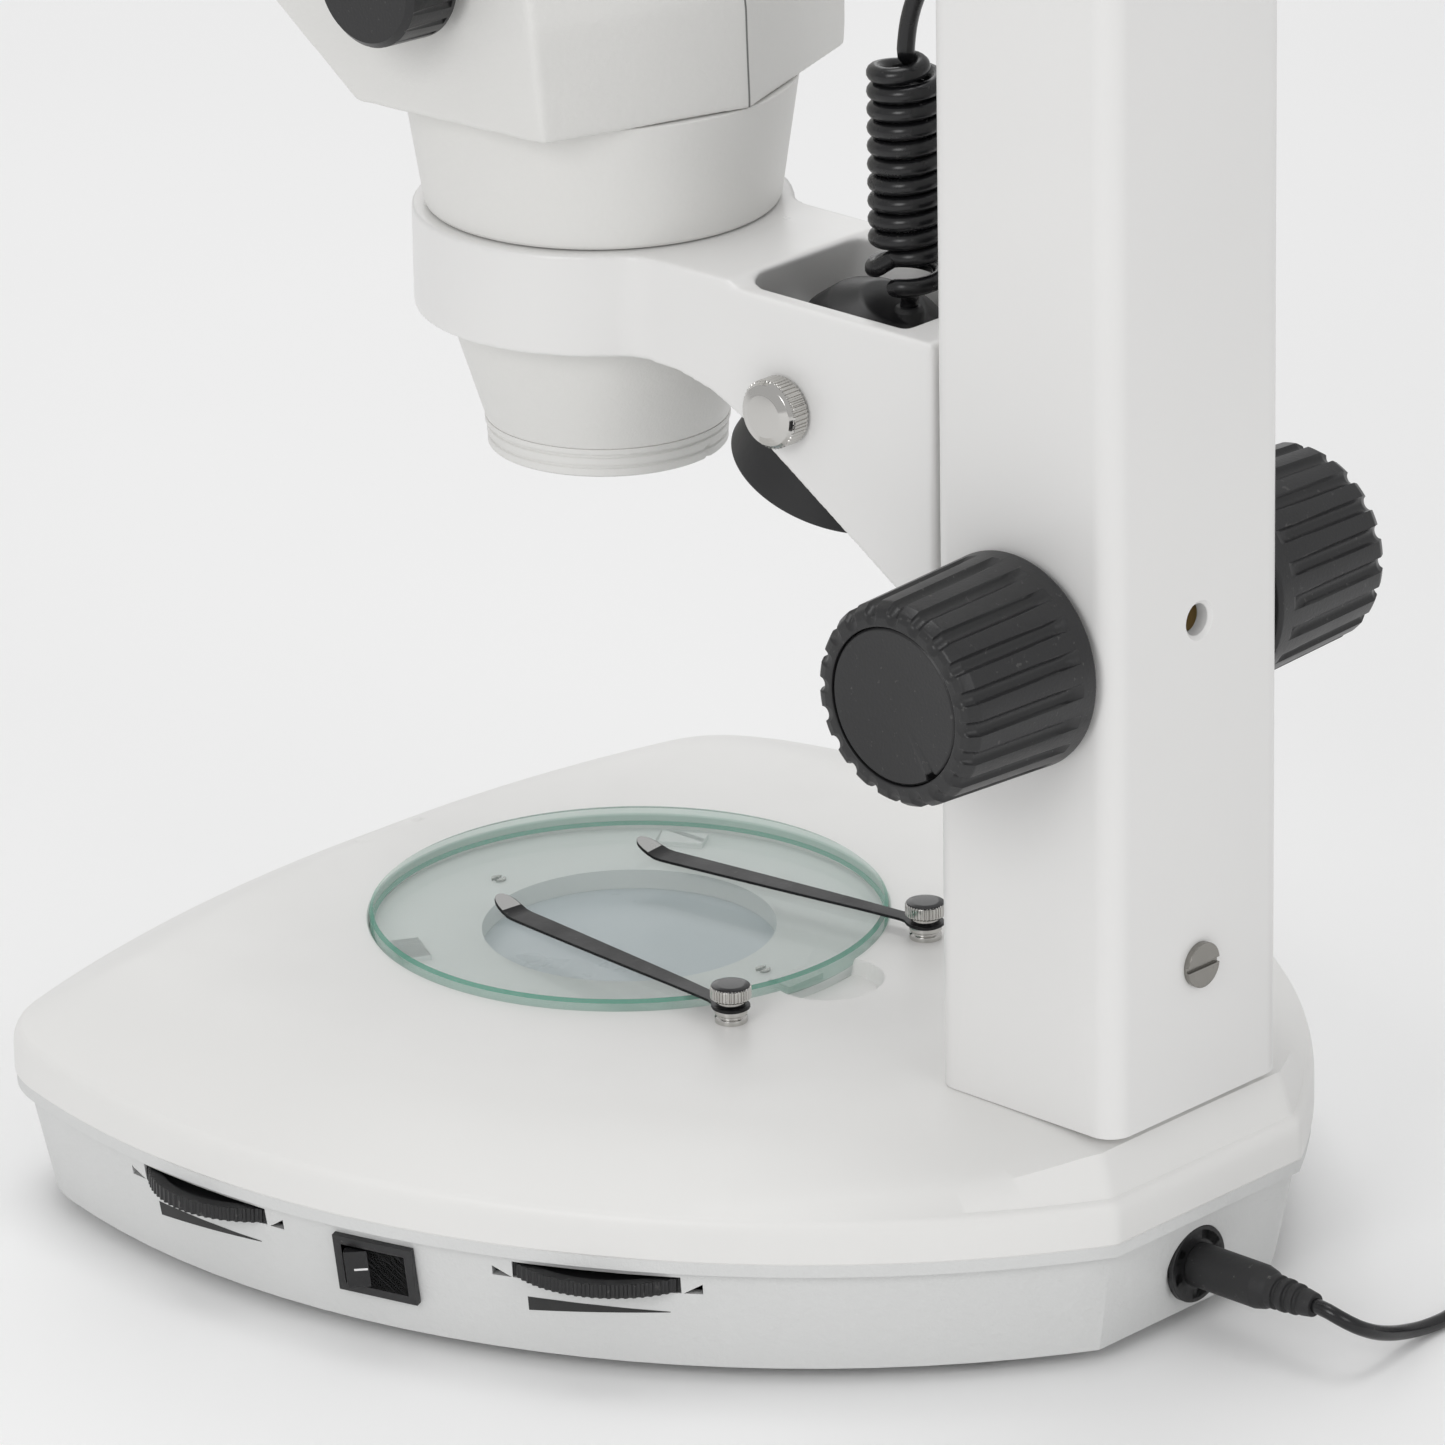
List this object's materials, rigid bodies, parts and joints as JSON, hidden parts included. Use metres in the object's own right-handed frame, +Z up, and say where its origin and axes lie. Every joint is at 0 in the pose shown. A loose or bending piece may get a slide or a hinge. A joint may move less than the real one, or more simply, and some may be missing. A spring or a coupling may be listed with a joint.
{
  "type": "stereo microscope",
  "caption": "Binocular zoom microscope on a rack-and-pinion column, with a lit glass stage, stage clips, a tilting top lamp and two brightness wheels.",
  "frame": {"origin": "centre of the footprint on the table, under the rubber feet, without the free power lead", "axes": "+X to the right of the user, towards the switch side; +Y to the rear, towards the column; +Z up; the user sits on the -Y side"},
  "size_m": [0.3142, 0.3856, 0.4213],
  "materials": {
    "shell_cream": "fine satin, cream",
    "tray_grey": "satin, pale grey",
    "cover_grey": "matt, dark grey",
    "column_paint": "satin powder coat, cream",
    "arm_paint": "semi gloss, cream",
    "head_plastic": "fine texture, cream",
    "black_plastic": "satin black",
    "knob_black": "satin black with light wear",
    "black_gloss": "gloss black",
    "rubber": "matt black rubber",
    "nickel": "bright nickel plate",
    "steel": "ground steel",
    "black_steel": "blackened spring steel",
    "brass": "machined",
    "aluminium": "machined",
    "lamp_black": "satin black",
    "glass_plate": "polished, greenish edge",
    "optics": "coated lens",
    "opal": "frosted diffuser",
    "board_green": "circuit board",
    "cord_black": "satin black lead"
  },
  "bodies": {
    "base": {"base_shell": "shell_cream", "base_tray": "tray_grey", "bottom_cover": "cover_grey", "base_screws": "steel", "rubber_feet": "rubber", "well_ring": "aluminium", "stage_glass": "glass_plate", "diffuser": "opal", "stage_lamp_board": "board_green", "clip_posts": "nickel", "control_board": "board_green", "switch_bezel": "black_plastic", "dc_socket": "black_plastic", "column": "column_paint", "column_cap": "column_paint", "guide_rails": "steel", "shaft_bushes": "brass", "cord_gland": "rubber", "dc_plug": "rubber", "power_cord": "cord_black", "power_coil": "cord_black", "wall_adapter": "black_plastic"},
    "clip_r": {"clip_right": "black_steel"},
    "clip_l": {"clip_left": "black_steel"},
    "clip_screw_r": {"thumbscrew_right": "nickel"},
    "clip_screw_l": {"thumbscrew_left": "nickel"},
    "wheel_front": {"dimmer_wheel_front": "black_plastic"},
    "wheel_rear": {"dimmer_wheel_rear": "black_plastic"},
    "rocker": {"switch_rocker": "black_gloss"},
    "focus_drive": {"pinion_shaft": "steel", "focus_knob_right": "knob_black", "focus_knob_left": "knob_black", "knob_caps": "knob_black"},
    "focus_arm": {"carriage": "aluminium", "focus_rack": "brass", "arm": "arm_paint", "arm_screws": "steel", "lamp_cord": "cord_black"},
    "head_lock": {"ring_screw": "nickel"},
    "lamp": {"lamp_housing": "lamp_black", "lamp_lens": "opal", "lamp_board": "board_green"},
    "lamp_knob_r": {"lamp_knob_right": "nickel"},
    "lamp_knob_l": {"lamp_knob_left": "nickel"},
    "head": {"head_cone": "head_plastic", "head_shell_right": "head_plastic", "head_shell_left": "head_plastic", "objective_ring": "head_plastic", "objective_lenses": "optics"},
    "zoom_drive": {"zoom_shaft": "steel", "zoom_knob_right": "knob_black", "zoom_knob_left": "knob_black"},
    "zoom_optics": {"zoom_carriage": "aluminium"},
    "eye_r": {"eyepiece_tube_right": "head_plastic", "eyepiece_right": "black_plastic", "eyecup_right": "rubber"},
    "eye_l": {"eyepiece_tube_left": "head_plastic", "eyepiece_left": "black_plastic", "eyecup_left": "rubber"},
    "diopter": {"diopter_ring": "black_plastic"}
  },
  "joints": [
    {"name": "focus_slide", "type": "slide", "parent": "base", "child": "focus_arm", "axis": [0, 0, 1], "range_m": [-0.025, 0.025], "deforming": ["lamp_cord"]},
    {"name": "pinion_turn", "type": "hinge", "parent": "base", "child": "focus_drive", "pos_m": [0, 0.11972, 0.1675], "axis": [1, 0, 0], "range_deg": [-192, 192]},
    {"name": "head_turn", "type": "hinge", "parent": "focus_arm", "child": "head", "pos_m": [0, -0.03628, 0.236], "axis": [0, 0, 1], "continuous": true},
    {"name": "ring_screw_turn", "type": "hinge", "parent": "focus_arm", "child": "head_lock", "pos_m": [-0.03465, -0.07093, 0.2235], "axis": [-0.7071, -0.7071, 0], "range_deg": [0, 360]},
    {"name": "lamp_tilt", "type": "hinge", "parent": "focus_arm", "child": "lamp", "pos_m": [0, 0.04622, 0.209], "axis": [1, 0, 0], "range_deg": [-12, 20]},
    {"name": "lamp_knob_r_turn", "type": "hinge", "parent": "focus_arm", "child": "lamp_knob_r", "pos_m": [0.03, 0.04622, 0.209], "axis": [1, 0, 0], "range_deg": [0, 180]},
    {"name": "lamp_knob_l_turn", "type": "hinge", "parent": "focus_arm", "child": "lamp_knob_l", "pos_m": [-0.03, 0.04622, 0.209], "axis": [-1, 0, 0], "range_deg": [0, 180]},
    {"name": "zoom_turn", "type": "hinge", "parent": "head", "child": "zoom_drive", "pos_m": [0, -0.04028, 0.304], "axis": [1, 0, 0], "range_deg": [-90, 90]},
    {"name": "zoom_slide", "type": "slide", "parent": "head", "child": "zoom_optics", "axis": [0, 0, 1], "range_m": [-0.008, 0.008]},
    {"name": "eye_right_turn", "type": "hinge", "parent": "head", "child": "eye_r", "pos_m": [0.031, -0.07428, 0.3364], "axis": [0, 0, 1], "range_deg": [-5.5, 5.5]},
    {"name": "eye_left_turn", "type": "hinge", "parent": "head", "child": "eye_l", "pos_m": [-0.031, -0.07428, 0.3364], "axis": [0, 0, 1], "range_deg": [-5.5, 5.5]},
    {"name": "diopter_turn", "type": "hinge", "parent": "eye_l", "child": "diopter", "pos_m": [-0.031, -0.1054, 0.37551], "axis": [0, -0.7071, 0.7071], "range_deg": [-90, 90]},
    {"name": "clip_right_swing", "type": "hinge", "parent": "base", "child": "clip_r", "pos_m": [0.034, 0.03272, 0.0595], "axis": [0, 0, 1], "range_deg": [-10, 60]},
    {"name": "clip_left_swing", "type": "hinge", "parent": "base", "child": "clip_l", "pos_m": [-0.034, 0.03272, 0.0595], "axis": [0, 0, 1], "range_deg": [-60, 10]},
    {"name": "clip_screw_right_turn", "type": "hinge", "parent": "base", "child": "clip_screw_r", "pos_m": [0.034, 0.03272, 0.062], "axis": [0, 0, 1], "range_deg": [0, 360]},
    {"name": "clip_screw_left_turn", "type": "hinge", "parent": "base", "child": "clip_screw_l", "pos_m": [-0.034, 0.03272, 0.062], "axis": [0, 0, 1], "range_deg": [0, 360]},
    {"name": "dimmer_front_turn", "type": "hinge", "parent": "base", "child": "wheel_front", "pos_m": [0.11719, -0.03905, 0.0253], "axis": [0, 0, 1], "range_deg": [-135, 135]},
    {"name": "dimmer_rear_turn", "type": "hinge", "parent": "base", "child": "wheel_rear", "pos_m": [0.09367, 0.05288, 0.0253], "axis": [0, 0, 1], "range_deg": [-135, 135]},
    {"name": "rocker_tip", "type": "hinge", "parent": "base", "child": "rocker", "pos_m": [0.12962, 0.01095, 0.01977], "axis": [0.1763, 0.0433, 0.9834], "range_deg": [-22, 0]}
  ],
  "couplings": [
    {"joint": "pinion_turn", "follows": "focus_slide", "rad_per_m": -133.33},
    {"joint": "zoom_slide", "follows": "zoom_turn", "m_per_rad": -0.005},
    {"joint": "eye_left_turn", "follows": "eye_right_turn", "ratio": -1}
  ]
}
